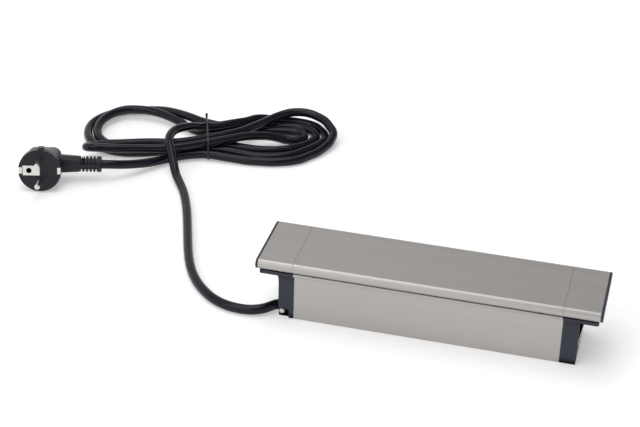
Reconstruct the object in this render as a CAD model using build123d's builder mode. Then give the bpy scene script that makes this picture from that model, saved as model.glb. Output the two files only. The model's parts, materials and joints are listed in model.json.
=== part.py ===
from build123d import *
import math
import os

os.makedirs("parts", exist_ok=True)

# Overall sizes in millimetres: X along the block, -Y to the front, Z up
overall_length = 275.0
overall_height = 54.5
body_length = 240.0
cup_side_gap = 2.7
flange_reach = 7.75
body_height = 42.0
channel_length = 214.5

# Aluminium section shared by the lid and the two end covers
profile_thickness = 8.4
profile_wall = 1.8
profile_lip = 8.0
seam_gap = 0.15
cap_thickness = 2.0
cap_spigot = 3.0
cap_edge = 0.4
nose_clearance = 0.1

# Channel and its flange
channel_wall = 1.8
channel_corner = 0.8
flange_thickness = 3.2
flange_inset = 2.75
flange_edge = 1.5
port_radius = 2.8
port_height = 15.0
port_sink = 0.5
ledge_depth = 1.2

# Fasteners
screw_radius = 1.4
screw_clearance = 0.05
screw_head_radius = 2.8
screw_head_height = 1.8
head_clearance = 0.2
screw_grip = 7.0

# Socket face plate and cups
fascia_thickness = 2.0
fascia_clearance = 0.1
socket_count = 3
socket_pitch = 62.0
socket_turn = 45.0
recess_radius = 19.5
recess_depth = 17.5
cup_wall = 2.0
cup_clearance = 0.15
shoulder_depth = 1.1
shoulder_height = 2.0
pin_spacing = 19.0
pin_radius = 2.4
pin_length = 19.0
pin_hole_clearance = 0.2
guide_rib_width = 6.0
guide_rib_depth = 1.2

# Contacts
strip_thickness = 0.6
clip_width = 6.0
clip_reach = 1.7
clip_groove = 0.8
bar_thickness = 0.8
bar_width = 5.0
bar_base = 3.0
contact_height = 14.2
trench_clearance = 0.7
terminal_size = 5.0
terminal_gap = 3.0
carrier_margin = 1.2
carrier_width = 36.8
post_radius = 3.0
earth_bar_inset = 0.3

# Shutters behind the pin holes
shutter_thickness = 3.0
shutter_width = 7.0
shutter_overlap = 3.5
shutter_clearance = 0.3
shutter_travel = 6.4
shutter_ramp = 2.4
spring_thickness = 0.35
spring_height = 2.0

# End housings
housing_wall = 2.2
end_wall = 2.5
boss_radius = 3.3
plateau_inset = 1.2
tongue_clearance = 0.2
tongue_gap = 0.75
hinge_pin_radius = 1.3
hinge_clearance = 0.05
hinge_pin_reach = 6.0
hinge_pin_hold = 8.0
lid_plug_length = 11.0

# Pocket with the clamp screw, in the left housing's lower front corner
pocket_length = 8.8
pocket_height = 8.2
pocket_depth = 2.6
pocket_wall = 1.0
clamp_screw_x = 2.7
clamp_screw_z = 5.2
clamp_head_radius = 2.4
clamp_head_round = 1.2
clamp_length = 6.0
clamp_height = 8.0

# Spring clips that grip the ends of the desk cut-out
spring_clip_width = 36.0
spring_clip_foot = 12.8
spring_clip_bend = 17.5
flange_below_gap = 3.0
spring_clip_bulge = 3.0
rivet_radius = 1.2
rivet_head = 2.0
rivet_spacing = 18.0
rivet_height = 15.0

# Lid buffers
buffer_radius = 3.0
buffer_gap = 0.1
buffer_inset = 17.0

# Mains lead
cord_radius = 4.1
floor_clearance = 0.05
cord_exit_y = -17.2
cord_exit_z = 6.5
gland_clearance = 0.05
gland_wall = 0.8
gland_rim = 0.6
gland_rim_height = 0.8
sheath_end_x = -110.0
wire_radius = 1.2
wire_gap = 1.45

# Plug: its face's centre and how that face is turned, and sizes from that face and middle
plug_face = Vector(-380.0, 110.5, 20.2)
plug_yaw = 14.7
plug_tilt = 11.1
plug_radius = 19.25
plug_rim = 6.5
plug_depth = 31.0
plug_back_width = 30.0
plug_back_height = 26.0
plug_back_corner = 7.0
plug_edge = 0.8
key_width = 5.0
key_height = 2.0
key_shift = 1.5
neck_depth = 23.3
neck_height = 17.0
neck_thickness = 15.0
neck_corner = 5.0
neck_start = 8.0
boot_start = 32.5
boot_end = 52.9
boot_radius = 7.25
groove_count = 5
groove_width = 1.7
groove_pitch = 3.3
groove_depth = 2.2
groove_spine = 2.6
earth_plate_length = 15.2
earth_plate_height = 9.0
earth_hole_radius = 2.5
earth_hole_x = -9.6
earth_hole_depth = 15.0
side_contact_height = 6.0
side_contact_width = 3.5
side_contact_depth = 6.0
side_contact_sink = 0.5
pin_seat = 6.0
pin_root_radius = 2.0
pin_tip = 1.4

# Hank: its waist on the floor, its length's turn from X, then sizes across and along it
hank_middle = Vector(-263.0, 234.0, 0)
hank_turn = 14.3
waist_half = 7.0
right_centre = (82.0, 5.5)
right_inner_radius = 12.0
left_centre = (-71.0, 20.0)
left_inner_radius = 33.6
loop_step = 8.9
lower_layer = 5.7
upper_layer = 13.5
crossing_rise = 9.1
least_gap = 0.4
tie_shift = 1.5
tie_turn = 4.7
tie_width = 1.6
tie_thickness = 1.0
tie_gap = 0.15
tie_twist_radius = 1.1
tie_twist_length = 3.0

# Levels and stations worked out from the sizes above
body_width = 2 * (recess_radius + cup_wall + cup_side_gap + channel_wall)
overall_width = body_width + 2 * flange_reach
channel_end = channel_length / 2
body_end = body_length / 2
cover_end = overall_length / 2 - cap_thickness
lid_end = channel_end - seam_gap
inner_half = body_width / 2 - channel_wall
channel_top = body_height + flange_thickness
flange_width = overall_width - 2 * flange_inset
flange_end = overall_length / 2 - flange_inset
profile_base = overall_height - profile_thickness
nose_z = overall_height - profile_thickness / 2
hinge_y = overall_width / 2 - profile_thickness / 2
throat_height = profile_thickness - 2 * profile_wall
throat_width = overall_width - 2 * profile_wall
opening_width = 2 * (hinge_y - profile_lip)
port_y = inner_half - port_radius + port_sink
fascia_base = channel_top - fascia_thickness
fascia_width = 2 * (inner_half - fascia_clearance)
fascia_length = channel_length - 2 * fascia_clearance
cup_radius = recess_radius + cup_wall
recess_floor = channel_top - recess_depth
cup_base = recess_floor - cup_wall
socket_xs = [socket_pitch * (i - (socket_count - 1) / 2) for i in range(socket_count)]
post_xs = [(a + b) / 2 for a, b in zip(socket_xs, socket_xs[1:])]
turn = math.radians(socket_turn)
pin_line = Vector(math.cos(turn), math.sin(turn), 0)
earth_line = Vector(-math.sin(turn), math.cos(turn), 0)
bar_y = pin_spacing / 2 * math.sin(turn)
bar_x = pin_spacing / 2 * math.cos(turn)
bar_base_z = channel_wall + bar_base
bus_half = socket_xs[-1] + bar_x + bar_width / 2
carrier_half = socket_xs[-1] + cup_radius + carrier_margin
terminal_x = -carrier_half - terminal_gap
shutter_top = cup_base - strip_thickness - shutter_clearance
shutter_base = shutter_top - shutter_thickness


def end_plane(side, x):
    """The YZ plane at this distance from the middle, looking out of that end."""
    return Plane(origin=(side * x, 0, 0), x_dir=(0, side, 0), z_dir=(side, 0, 0))


def socket_plane(x, z=0):
    """A level plane at a socket, with its X along that socket's two pins."""
    return Plane(origin=(x, 0, z), x_dir=pin_line, z_dir=(0, 0, 1))


def draw_profile():
    """Draw the flat section with two round noses and lips turned in underneath."""
    with Locations((0, nose_z)):
        SlotOverall(overall_width, profile_thickness)
        SlotOverall(throat_width, throat_height, mode=Mode.SUBTRACT)
    with Locations((0, profile_base + profile_wall / 2)):
        Rectangle(opening_width, profile_wall, mode=Mode.SUBTRACT)


def draw_strip(points, thickness, radius):
    """Draw a bent strip whose one face follows the points."""
    with BuildLine() as outline:
        FilletPolyline(*points, radius=radius)
        offset(amount=thickness, side=Side.LEFT)
    make_face(outline.edges())


# Aluminium channel with its two long flanges
with BuildPart() as channel:
    with BuildSketch(end_plane(1, -channel_end)) as channel_section:
        with Locations((0, channel_top / 2)):
            Rectangle(body_width, channel_top)
        fillet(channel_section.vertices().group_by(Axis.Y)[0], channel_corner)
        with Locations((0, body_height + flange_thickness / 2)):
            Rectangle(flange_width, flange_thickness)
        flange_ends = channel_section.vertices().group_by(Axis.X)
        fillet(flange_ends[0] + flange_ends[-1], flange_edge)
        with Locations((0, channel_wall + channel_top / 2)):
            Rectangle(2 * inner_half, channel_top, mode=Mode.SUBTRACT)
        for side in (-1, 1):
            with Locations((side * (inner_half - ledge_depth / 2), fascia_base - ledge_depth / 2)):
                Rectangle(ledge_depth, ledge_depth)
            with Locations((side * port_y, port_height)):
                Circle(port_radius)
                Circle(screw_radius + screw_clearance, mode=Mode.SUBTRACT)
    extrude(amount=channel_length)
channel.part.label = "channel"
export_step(channel.part, "parts/channel.step")

# Black face plate with a round hole for each socket cup
with BuildPart() as socket_fascia:
    with BuildSketch(Plane.XY.offset(fascia_base)):
        Rectangle(fascia_length, fascia_width)
        with Locations(*[(x, 0) for x in socket_xs]):
            Circle(cup_radius + cup_clearance, mode=Mode.SUBTRACT)
    extrude(amount=fascia_thickness)
    with Locations(*[(x, 0, channel_top) for x in post_xs]):
        CounterSinkHole(
            screw_radius + head_clearance, screw_head_radius + head_clearance, depth=fascia_thickness
        )
socket_fascia.part.label = "socket_fascia"
export_step(socket_fascia.part, "parts/socket_fascia.step")

for number, socket_x in enumerate(socket_xs, 1):
    # Socket cup: a round recess with guide ribs, pin holes and earth clip grooves
    with BuildPart() as socket_cup:
        with BuildSketch(Plane.XZ) as cup_section:
            with BuildLine():
                Polyline(
                    (socket_x, cup_base),
                    (socket_x + cup_radius, cup_base),
                    (socket_x + cup_radius, fascia_base - shoulder_height),
                    (socket_x + cup_radius + shoulder_depth, fascia_base - shoulder_height),
                    (socket_x + cup_radius + shoulder_depth, fascia_base),
                    (socket_x + cup_radius, fascia_base),
                    (socket_x + cup_radius, channel_top),
                    (socket_x + recess_radius, channel_top),
                    (socket_x + recess_radius, recess_floor),
                    (socket_x, recess_floor),
                    close=True,
                )
            make_face()
        revolve(axis=Axis((socket_x, 0, 0), (0, 0, 1)))
        with BuildSketch(socket_plane(socket_x, recess_floor)):
            with PolarLocations(recess_radius - guide_rib_depth / 2 + cup_wall / 4, 2):
                Rectangle(guide_rib_depth + cup_wall / 2, guide_rib_width)
        extrude(amount=recess_depth)
        with BuildSketch(socket_plane(socket_x, cup_base)):
            with PolarLocations(pin_spacing / 2, 2):
                Circle(pin_radius + pin_hole_clearance)
        extrude(amount=cup_wall, mode=Mode.SUBTRACT)
        with BuildSketch(socket_plane(socket_x, cup_base)):
            with PolarLocations(recess_radius + clip_groove / 2 - clip_reach / 2, 2, start_angle=90):
                Rectangle(clip_groove + clip_reach, clip_width + 2 * pin_hole_clearance)
        extrude(amount=cup_wall, mode=Mode.SUBTRACT)
        with BuildSketch(socket_plane(socket_x, recess_floor)):
            with PolarLocations(recess_radius, 2, start_angle=90):
                Rectangle(2 * clip_groove, clip_width + 2 * pin_hole_clearance)
        extrude(amount=recess_depth - shoulder_height, mode=Mode.SUBTRACT)
    socket_cup.part.label = f"socket_cup_{number}"
    export_step(socket_cup.part, f"parts/socket_cup_{number}.step")

    # Sprung earth clip: a U of strip with a bowed leg in each groove
    clip_outer = recess_radius + clip_groove - fascia_clearance
    clip_inner = recess_radius - clip_reach
    clip_top = channel_top - shoulder_height - clip_reach
    clip_mid = recess_floor + recess_depth * 0.45
    clip_low = recess_floor + strip_thickness
    with BuildPart() as earth_clip:
        with BuildSketch(Plane(origin=(socket_x, 0, 0), x_dir=earth_line, z_dir=pin_line)):
            draw_strip(
                [
                    (-clip_outer, clip_top),
                    (-clip_inner, clip_mid),
                    (-clip_outer, clip_low),
                    (-clip_outer, cup_base - strip_thickness),
                    (clip_outer, cup_base - strip_thickness),
                    (clip_outer, clip_low),
                    (clip_inner, clip_mid),
                    (clip_outer, clip_top),
                ],
                strip_thickness,
                strip_thickness / 2,
            )
        extrude(amount=clip_width / 2, both=True)
    earth_clip.part.label = f"earth_clip_{number}"
    export_step(earth_clip.part, f"parts/earth_clip_{number}.step")

    # Shutter: a bar across both pin holes, ramped where the pins push it aside
    with BuildPart() as shutter:
        with BuildSketch(Plane(origin=(socket_x, 0, 0), x_dir=-earth_line, z_dir=-pin_line)):
            with BuildLine():
                Polyline(
                    (-shutter_width / 2, shutter_base),
                    (shutter_width / 2, shutter_base),
                    (shutter_width / 2, shutter_top),
                    (shutter_ramp - shutter_width / 2, shutter_top),
                    (-shutter_width / 2, shutter_top - shutter_ramp),
                    close=True,
                )
            make_face()
        extrude(amount=pin_spacing / 2 + shutter_overlap, both=True)
    shutter.part.label = f"shutter_{number}"
    export_step(shutter.part, f"parts/shutter_{number}.step")

    # Return spring: a zigzag leaf between the shutter and the wall of its pocket
    leaf_near = shutter_width / 2
    leaf_far = shutter_width / 2 + shutter_travel + shutter_clearance
    with BuildPart() as shutter_spring:
        with BuildSketch(
            Plane(origin=(socket_x, 0, shutter_base + shutter_clearance), x_dir=-earth_line, z_dir=(0, 0, 1))
        ):
            draw_strip(
                [
                    (leaf_far - spring_thickness, -leaf_far),
                    (leaf_near + spring_thickness, -leaf_near),
                    (leaf_far - spring_thickness, 0),
                    (leaf_near + spring_thickness, leaf_near),
                    (leaf_far - spring_thickness, leaf_far),
                ],
                spring_thickness,
                spring_thickness * 2,
            )
        extrude(amount=spring_height)
    shutter_spring.part.label = f"shutter_spring_{number}"
    export_step(shutter_spring.part, f"parts/shutter_spring_{number}.step")

# Moulded carrier under the cups: trenches for the bars, shutter pockets, screw posts
carrier_height = cup_base - channel_wall
trench_width = bar_width + 2 * trench_clearance + strip_thickness
earth_bar_y = clip_outer * math.cos(turn) + earth_bar_inset
earth_bar_z = cup_base - strip_thickness - bar_thickness
pocket_span = shutter_width + shutter_travel + 2 * shutter_clearance
pocket_shift = pocket_span / 2 - shutter_width / 2 - shutter_clearance
with BuildPart() as contact_carrier:
    with BuildSketch(Plane.XY.offset(channel_wall)):
        Rectangle(2 * carrier_half, carrier_width)
    extrude(amount=carrier_height)
    with BuildSketch(Plane.XY.offset(channel_wall)):
        with Locations(*[(x, 0) for x in post_xs]):
            Circle(post_radius)
    extrude(amount=fascia_base - channel_wall)
    with BuildSketch(Plane.XY.offset(bar_base_z)):
        with Locations((0, bar_y), (0, -bar_y)):
            Rectangle(2 * carrier_half, trench_width)
    extrude(amount=carrier_height, mode=Mode.SUBTRACT)
    with BuildSketch(Plane.XY.offset(earth_bar_z)):
        with Locations((0, earth_bar_y)):
            Rectangle(2 * carrier_half, bar_width + 2 * fascia_clearance)
    extrude(amount=carrier_height, mode=Mode.SUBTRACT)
    for socket_x in socket_xs:
        with BuildSketch(Plane(origin=(socket_x, 0, shutter_base), x_dir=-earth_line, z_dir=(0, 0, 1))):
            with Locations((pocket_shift, 0)):
                Rectangle(pocket_span, pin_spacing + 2 * shutter_overlap + 2 * shutter_clearance)
        extrude(amount=carrier_height, mode=Mode.SUBTRACT)
        with BuildSketch(socket_plane(socket_x, cup_base - strip_thickness)):
            Rectangle(clip_width + 2 * fascia_clearance, 2 * clip_outer)
        extrude(amount=carrier_height, mode=Mode.SUBTRACT)
    with Locations(*[(x, 0, fascia_base) for x in post_xs]):
        Hole(screw_radius + screw_clearance, depth=screw_grip + screw_clearance)
contact_carrier.part.label = "contact_carrier"
export_step(contact_carrier.part, "parts/contact_carrier.step")

# Live and neutral bars: a strip, a forked contact at each pin and a wire terminal
fork_width = 2 * (pin_radius + strip_thickness)
for name, side in (("live_bar", -1), ("neutral_bar", 1)):
    with BuildPart() as bus_bar:
        with BuildSketch(Plane.XY.offset(bar_base_z)):
            with Locations(((terminal_x + bus_half) / 2, side * bar_y)):
                Rectangle(bus_half - terminal_x, bar_width)
        extrude(amount=bar_thickness)
        with BuildSketch(Plane.XY.offset(bar_base_z)):
            with Locations(*[(x + side * bar_x, side * bar_y) for x in socket_xs]):
                Rectangle(bar_width, fork_width)
        extrude(amount=contact_height)
        with BuildSketch(Plane.XY.offset(bar_base_z + bar_thickness)):
            with Locations(*[(x + side * bar_x, side * bar_y) for x in socket_xs]):
                Rectangle(bar_width, 2 * pin_radius)
        extrude(amount=contact_height, mode=Mode.SUBTRACT)
        with BuildSketch(Plane.XY.offset(bar_base_z)):
            with Locations((terminal_x, side * bar_y)):
                Rectangle(terminal_size, terminal_size)
        extrude(amount=terminal_size)
    bus_bar.part.label = name
    export_step(bus_bar.part, f"parts/{name}.step")

# Earth bar: lies in the carrier's groove under one foot of every earth clip
earth_bar_end = socket_xs[-1] - clip_outer * math.sin(turn) + bar_width
with BuildPart() as earth_bar:
    with BuildSketch(Plane.XY.offset(earth_bar_z)):
        with Locations(((terminal_x + earth_bar_end) / 2, earth_bar_y)):
            Rectangle(earth_bar_end - terminal_x, bar_width)
    extrude(amount=bar_thickness)
    with BuildSketch(Plane.XY.offset(earth_bar_z + bar_thickness - terminal_size)):
        with Locations((terminal_x, earth_bar_y)):
            Rectangle(terminal_size, terminal_size)
    extrude(amount=terminal_size)
earth_bar.part.label = "earth_bar"
export_step(earth_bar.part, "parts/earth_bar.step")

# Countersunk screws through the face plate into the carrier's posts
with BuildPart() as fascia_screws:
    for x in post_xs:
        with BuildSketch(Plane.XZ):
            with BuildLine():
                Polyline(
                    (x, channel_top),
                    (x + screw_head_radius, channel_top),
                    (x + screw_radius, channel_top - screw_head_radius + screw_radius),
                    (x + screw_radius, fascia_base - screw_grip),
                    (x, fascia_base - screw_grip),
                    close=True,
                )
            make_face()
        revolve(axis=Axis((x, 0, 0), (0, 0, 1)))
fascia_screws.part.label = "fascia_screws"
export_step(fascia_screws.part, "parts/fascia_screws.step")

# End housings: a hollow moulding that closes the channel and carries flange and cover
tongue_start = channel_end + tongue_gap
tongue_end = cover_end - cap_spigot - tongue_gap
plateau_half = hinge_y - plateau_inset
seat_x = body_end - screw_head_height - head_clearance
for name, side in (("left_housing", -1), ("right_housing", 1)):
    with BuildPart() as housing:
        with BuildSketch(end_plane(side, channel_end)) as housing_section:
            with Locations((0, channel_top / 2)):
                Rectangle(body_width, channel_top)
            fillet(housing_section.vertices().group_by(Axis.Y)[0], channel_corner)
        extrude(amount=body_end - channel_end)
        with BuildSketch(end_plane(side, channel_end)):
            with Locations((0, (housing_wall + body_height) / 2)):
                Rectangle(body_width - 2 * housing_wall, body_height - housing_wall)
        extrude(amount=body_end - channel_end - end_wall, mode=Mode.SUBTRACT)
        with BuildSketch(Plane.XY.offset(body_height)) as flange_outline:
            with Locations((side * (channel_end + flange_end) / 2, 0)):
                Rectangle(flange_end - channel_end, flange_width)
            fillet(flange_outline.vertices().group_by(Axis.X)[-1 if side > 0 else 0], flange_edge)
        extrude(amount=flange_thickness)
        with BuildSketch(Plane.XY.offset(channel_top)):
            with Locations((side * (channel_end + tongue_end) / 2, 0)):
                Rectangle(tongue_end - channel_end, 2 * plateau_half)
        extrude(amount=profile_base - channel_top)
        with BuildSketch(end_plane(side, tongue_start)):
            with Locations((0, profile_base + profile_wall / 2)):
                Rectangle(opening_width - 2 * tongue_clearance, profile_wall)
            with Locations((0, nose_z)):
                SlotOverall(throat_width - 2 * nose_clearance, throat_height)
        extrude(amount=tongue_end - tongue_start)
        with BuildSketch(end_plane(side, tongue_start)):
            with Locations((side * hinge_y, nose_z)):
                Circle(hinge_pin_radius + hinge_clearance)
        extrude(amount=hinge_pin_reach + screw_clearance, mode=Mode.SUBTRACT)
        with BuildSketch(end_plane(side, channel_end)):
            with Locations((port_y, port_height), (-port_y, port_height)):
                Circle(boss_radius)
        extrude(amount=seat_x - channel_end)
        if side < 0:
            with BuildSketch(end_plane(side, body_end)):
                with Locations((body_width / 2, 0)):
                    Rectangle(
                        pocket_depth + pocket_wall, pocket_height + pocket_wall, align=(Align.MAX, Align.MIN)
                    )
            extrude(amount=-pocket_length - pocket_wall)
            with BuildSketch(end_plane(side, body_end)):
                with Locations((body_width / 2, 0)):
                    Rectangle(pocket_depth, pocket_height, align=(Align.MAX, Align.MIN))
            extrude(amount=-pocket_length, mode=Mode.SUBTRACT)
            with BuildSketch(end_plane(side, body_end)):
                with Locations((side * cord_exit_y, cord_exit_z)):
                    Circle(cord_radius + gland_wall + 2 * gland_clearance)
            extrude(amount=-end_wall, mode=Mode.SUBTRACT)
            with BuildSketch(Plane.XZ.offset(body_width / 2)):
                with Locations((clamp_screw_x - body_end, clamp_screw_z)):
                    Circle(screw_radius + screw_clearance)
            extrude(amount=-pocket_depth - pocket_wall, mode=Mode.SUBTRACT)
        with BuildSketch(end_plane(side, channel_end)):
            with Locations((port_y, port_height), (-port_y, port_height)):
                Circle(screw_radius + screw_clearance)
        extrude(amount=body_end - channel_end, mode=Mode.SUBTRACT)
        with BuildSketch(end_plane(side, seat_x)):
            with Locations((port_y, port_height), (-port_y, port_height)):
                Circle(screw_head_radius + head_clearance)
        extrude(amount=end_wall, mode=Mode.SUBTRACT)
        with BuildSketch(end_plane(side, body_end)):
            with Locations((rivet_spacing / 2, rivet_height), (-rivet_spacing / 2, rivet_height)):
                Circle(rivet_radius + screw_clearance)
        extrude(amount=-end_wall, mode=Mode.SUBTRACT)
    housing.part.label = name
    export_step(housing.part, f"parts/{name}.step")

# End covers, slid over the housings' tongues
for name, side in (("left_end_cover", -1), ("right_end_cover", 1)):
    with BuildPart() as end_cover:
        with BuildSketch(end_plane(side, channel_end)):
            draw_profile()
        extrude(amount=cover_end - channel_end)
    end_cover.part.label = name
    export_step(end_cover.part, f"parts/{name}.step")

# Black end caps with a spigot inside the cover
for name, side in (("left_end_cap", -1), ("right_end_cap", 1)):
    with BuildPart() as end_cap:
        with BuildSketch(end_plane(side, cover_end)):
            with Locations((0, nose_z)):
                SlotOverall(overall_width, profile_thickness)
        extrude(amount=cap_thickness)
        fillet(end_cap.faces().sort_by(Axis.X)[-1 if side > 0 else 0].edges(), cap_edge)
        with BuildSketch(end_plane(side, cover_end)):
            with Locations((0, nose_z)):
                SlotOverall(throat_width - 2 * nose_clearance, throat_height)
        extrude(amount=-cap_spigot)
    end_cap.part.label = name
    export_step(end_cap.part, f"parts/{name}.step")

# Hinged lid between the end covers
with BuildPart() as lid:
    with BuildSketch(end_plane(1, -lid_end)):
        draw_profile()
    extrude(amount=2 * lid_end)
lid.part.label = "lid"
export_step(lid.part, "parts/lid.step")

# Plugs inside the lid's ends, with the hinge pins pressed into them
for name, side in (("left", -1), ("right", 1)):
    with BuildPart() as lid_plug:
        with BuildSketch(end_plane(side, lid_end)):
            with Locations((0, nose_z)):
                SlotOverall(throat_width - 2 * nose_clearance, throat_height)
            with Locations((side * hinge_y, nose_z)):
                Circle(hinge_pin_radius, mode=Mode.SUBTRACT)
        extrude(amount=-lid_plug_length)
    lid_plug.part.label = f"{name}_lid_plug"
    export_step(lid_plug.part, f"parts/{name}_lid_plug.step")
    with BuildPart() as hinge_pin:
        with BuildSketch(end_plane(side, lid_end - hinge_pin_hold)):
            with Locations((side * hinge_y, nose_z)):
                Circle(hinge_pin_radius)
        extrude(amount=tongue_start + hinge_pin_reach - lid_end + hinge_pin_hold)
    hinge_pin.part.label = f"{name}_hinge_pin"
    export_step(hinge_pin.part, f"parts/{name}_hinge_pin.step")

# Rubber buffers under the lid's front lip
with BuildPart() as lid_buffers:
    with BuildSketch(Plane.XY.offset(channel_top + buffer_gap)):
        with GridLocations(2 * (lid_end - buffer_inset), 0, 2, 1):
            with Locations((0, -hinge_y + buffer_radius / 2)):
                Circle(buffer_radius)
    extrude(amount=profile_base - channel_top - buffer_gap)
lid_buffers.part.label = "lid_buffers"
export_step(lid_buffers.part, "parts/lid_buffers.step")

# Screws that hold each housing to the channel's screw ports
with BuildPart() as housing_screws:
    for side in (-1, 1):
        with BuildSketch(end_plane(side, channel_end - screw_grip)):
            with Locations((port_y, port_height), (-port_y, port_height)):
                Circle(screw_radius)
        extrude(amount=seat_x + screw_grip - channel_end)
        with BuildSketch(end_plane(side, seat_x)):
            with Locations((port_y, port_height), (-port_y, port_height)):
                Circle(screw_head_radius)
        extrude(amount=screw_head_height)
housing_screws.part.label = "housing_screws"
export_step(housing_screws.part, "parts/housing_screws.step")

# Spring clips: a riveted foot and a blade that stands off the end face
for name, side in (("left_spring_clip", -1), ("right_spring_clip", 1)):
    with BuildPart() as spring_clip:
        with BuildSketch(Plane(origin=(0, 0, 0), x_dir=(side, 0, 0), z_dir=(0, -side, 0))):
            draw_strip(
                [
                    (body_end + spring_clip_bulge / 2, body_height - flange_below_gap),
                    (body_end + spring_clip_bulge, body_height - flange_below_gap - spring_clip_bulge),
                    (body_end, spring_clip_bend),
                    (body_end, spring_clip_foot),
                ],
                strip_thickness,
                strip_thickness,
            )
        extrude(amount=spring_clip_width / 2, both=True)
        with BuildSketch(end_plane(side, body_end)):
            with Locations((rivet_spacing / 2, rivet_height), (-rivet_spacing / 2, rivet_height)):
                Circle(rivet_radius + screw_clearance)
        extrude(amount=strip_thickness, mode=Mode.SUBTRACT)
    spring_clip.part.label = name
    export_step(spring_clip.part, f"parts/{name}.step")

with BuildPart() as clip_rivets:
    for side in (-1, 1):
        with BuildSketch(end_plane(side, body_end - end_wall)):
            with Locations((rivet_spacing / 2, rivet_height), (-rivet_spacing / 2, rivet_height)):
                Circle(rivet_radius)
        extrude(amount=end_wall + strip_thickness)
        with BuildSketch(end_plane(side, body_end + strip_thickness)):
            with Locations((rivet_spacing / 2, rivet_height), (-rivet_spacing / 2, rivet_height)):
                Circle(rivet_head)
        extrude(amount=bar_thickness)
clip_rivets.part.label = "clip_rivets"
export_step(clip_rivets.part, "parts/clip_rivets.step")

# Gland where the lead leaves the left housing, low and towards the front
exit_plane = Plane(origin=(-body_end, cord_exit_y, cord_exit_z), x_dir=(0, -1, 0), z_dir=(-1, 0, 0))
with BuildPart() as cord_gland:
    with BuildSketch(exit_plane.offset(-end_wall)):
        Circle(cord_radius + gland_wall + gland_clearance)
    extrude(amount=end_wall)
    with BuildSketch(exit_plane):
        Circle(cord_radius + gland_wall + gland_rim)
    extrude(amount=gland_rim_height)
    with BuildSketch(exit_plane.offset(-end_wall)):
        Circle(cord_radius + gland_clearance)
    extrude(amount=end_wall + gland_rim_height, mode=Mode.SUBTRACT)
cord_gland.part.label = "cord_gland"
export_step(cord_gland.part, "parts/cord_gland.step")

# The lead's sheath through the gland, and the three wires that leave it
with BuildPart() as sheath_end:
    with BuildSketch(exit_plane.offset(gland_rim_height)):
        Circle(cord_radius)
    extrude(amount=-(body_end + gland_rim_height + sheath_end_x))
sheath_end.part.label = "sheath_end"
export_step(sheath_end.part, "parts/sheath_end.step")

# Clamp plate and its screw, reached from the pocket
clamp_y = -body_width / 2 + pocket_depth + pocket_wall
clamp_x = clamp_screw_x - body_end
with BuildPart() as cord_clamp:
    with BuildSketch(Plane.XZ.offset(-clamp_y)):
        with Locations((end_wall + head_clearance + clamp_length / 2 - body_end, cord_exit_z)):
            RectangleRounded(clamp_length, clamp_height, channel_corner)
    extrude(amount=-(cord_exit_y - cord_radius - clamp_y))
cord_clamp.part.label = "cord_clamp"
export_step(cord_clamp.part, "parts/cord_clamp.step")

with BuildPart() as clamp_screw:
    with BuildSketch(Plane.XZ.offset(-clamp_y)):
        with Locations((clamp_x, clamp_screw_z)):
            Circle(screw_radius)
    extrude(amount=pocket_wall)
    with BuildSketch(Plane.XZ.offset(-clamp_y + pocket_wall)):
        with Locations((clamp_x, clamp_screw_z)):
            Circle(clamp_head_radius)
    extrude(amount=screw_head_height)
    fillet(clamp_screw.faces().sort_by(Axis.Y)[0].edges(), clamp_head_round)
clamp_screw.part.label = "clamp_screw"
export_step(clamp_screw.part, "parts/clamp_screw.step")

# Wires from the sheath to the three terminals
terminal_face = terminal_x - terminal_size / 2
wire_turn = 2 * wire_radius
bar_mid_z = bar_base_z + terminal_size / 2
earth_mid_z = earth_bar_z + bar_thickness - terminal_size / 2
wire_routes = {
    "live_wire": (-wire_gap, -wire_radius, 3.0, [(-98.0, -bar_y, bar_mid_z)]),
    "neutral_wire": (wire_gap, -wire_radius, 2.5, [(-97.0, bar_y, bar_mid_z)]),
    "earth_wire": (0, wire_gap, 3.5, [(-101.0, 3.0, 18.0), (-96.0, earth_bar_y, earth_mid_z)]),
}
for name, (shift_y, shift_z, straight, bends) in wire_routes.items():
    start = (sheath_end_x, cord_exit_y + shift_y, cord_exit_z + shift_z)
    points = [start, (sheath_end_x + straight, start[1], start[2])] + bends
    points.append((terminal_face, bends[-1][1], bends[-1][2]))
    with BuildPart() as wire:
        with BuildLine() as wire_path:
            FilletPolyline(*points, radius=wire_turn)
        with BuildSketch(Plane(origin=start, z_dir=(1, 0, 0))):
            Circle(wire_radius)
        sweep(path=wire_path.line)
    wire.part.label = name
    export_step(wire.part, f"parts/{name}.step")

# Plug on the end of the lead, leaning back on its rim with the pins to the front
along_plug = Vector(1, 0, 0).rotate(Axis.Z, plug_yaw)
out_of_plug = Vector(0, -1, 0).rotate(Axis.X, -plug_tilt).rotate(Axis.Z, plug_yaw)


def plug_plane(out):
    """A plane parallel to the plug's face, this far in front of it."""
    return Plane(origin=plug_face + out_of_plug * out, x_dir=along_plug, z_dir=out_of_plug)


def neck_plane(along):
    """A plane square to the neck, this far from the plug's middle."""
    return Plane(
        origin=plug_face + along_plug * along - out_of_plug * neck_depth, x_dir=out_of_plug, z_dir=along_plug
    )


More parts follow.
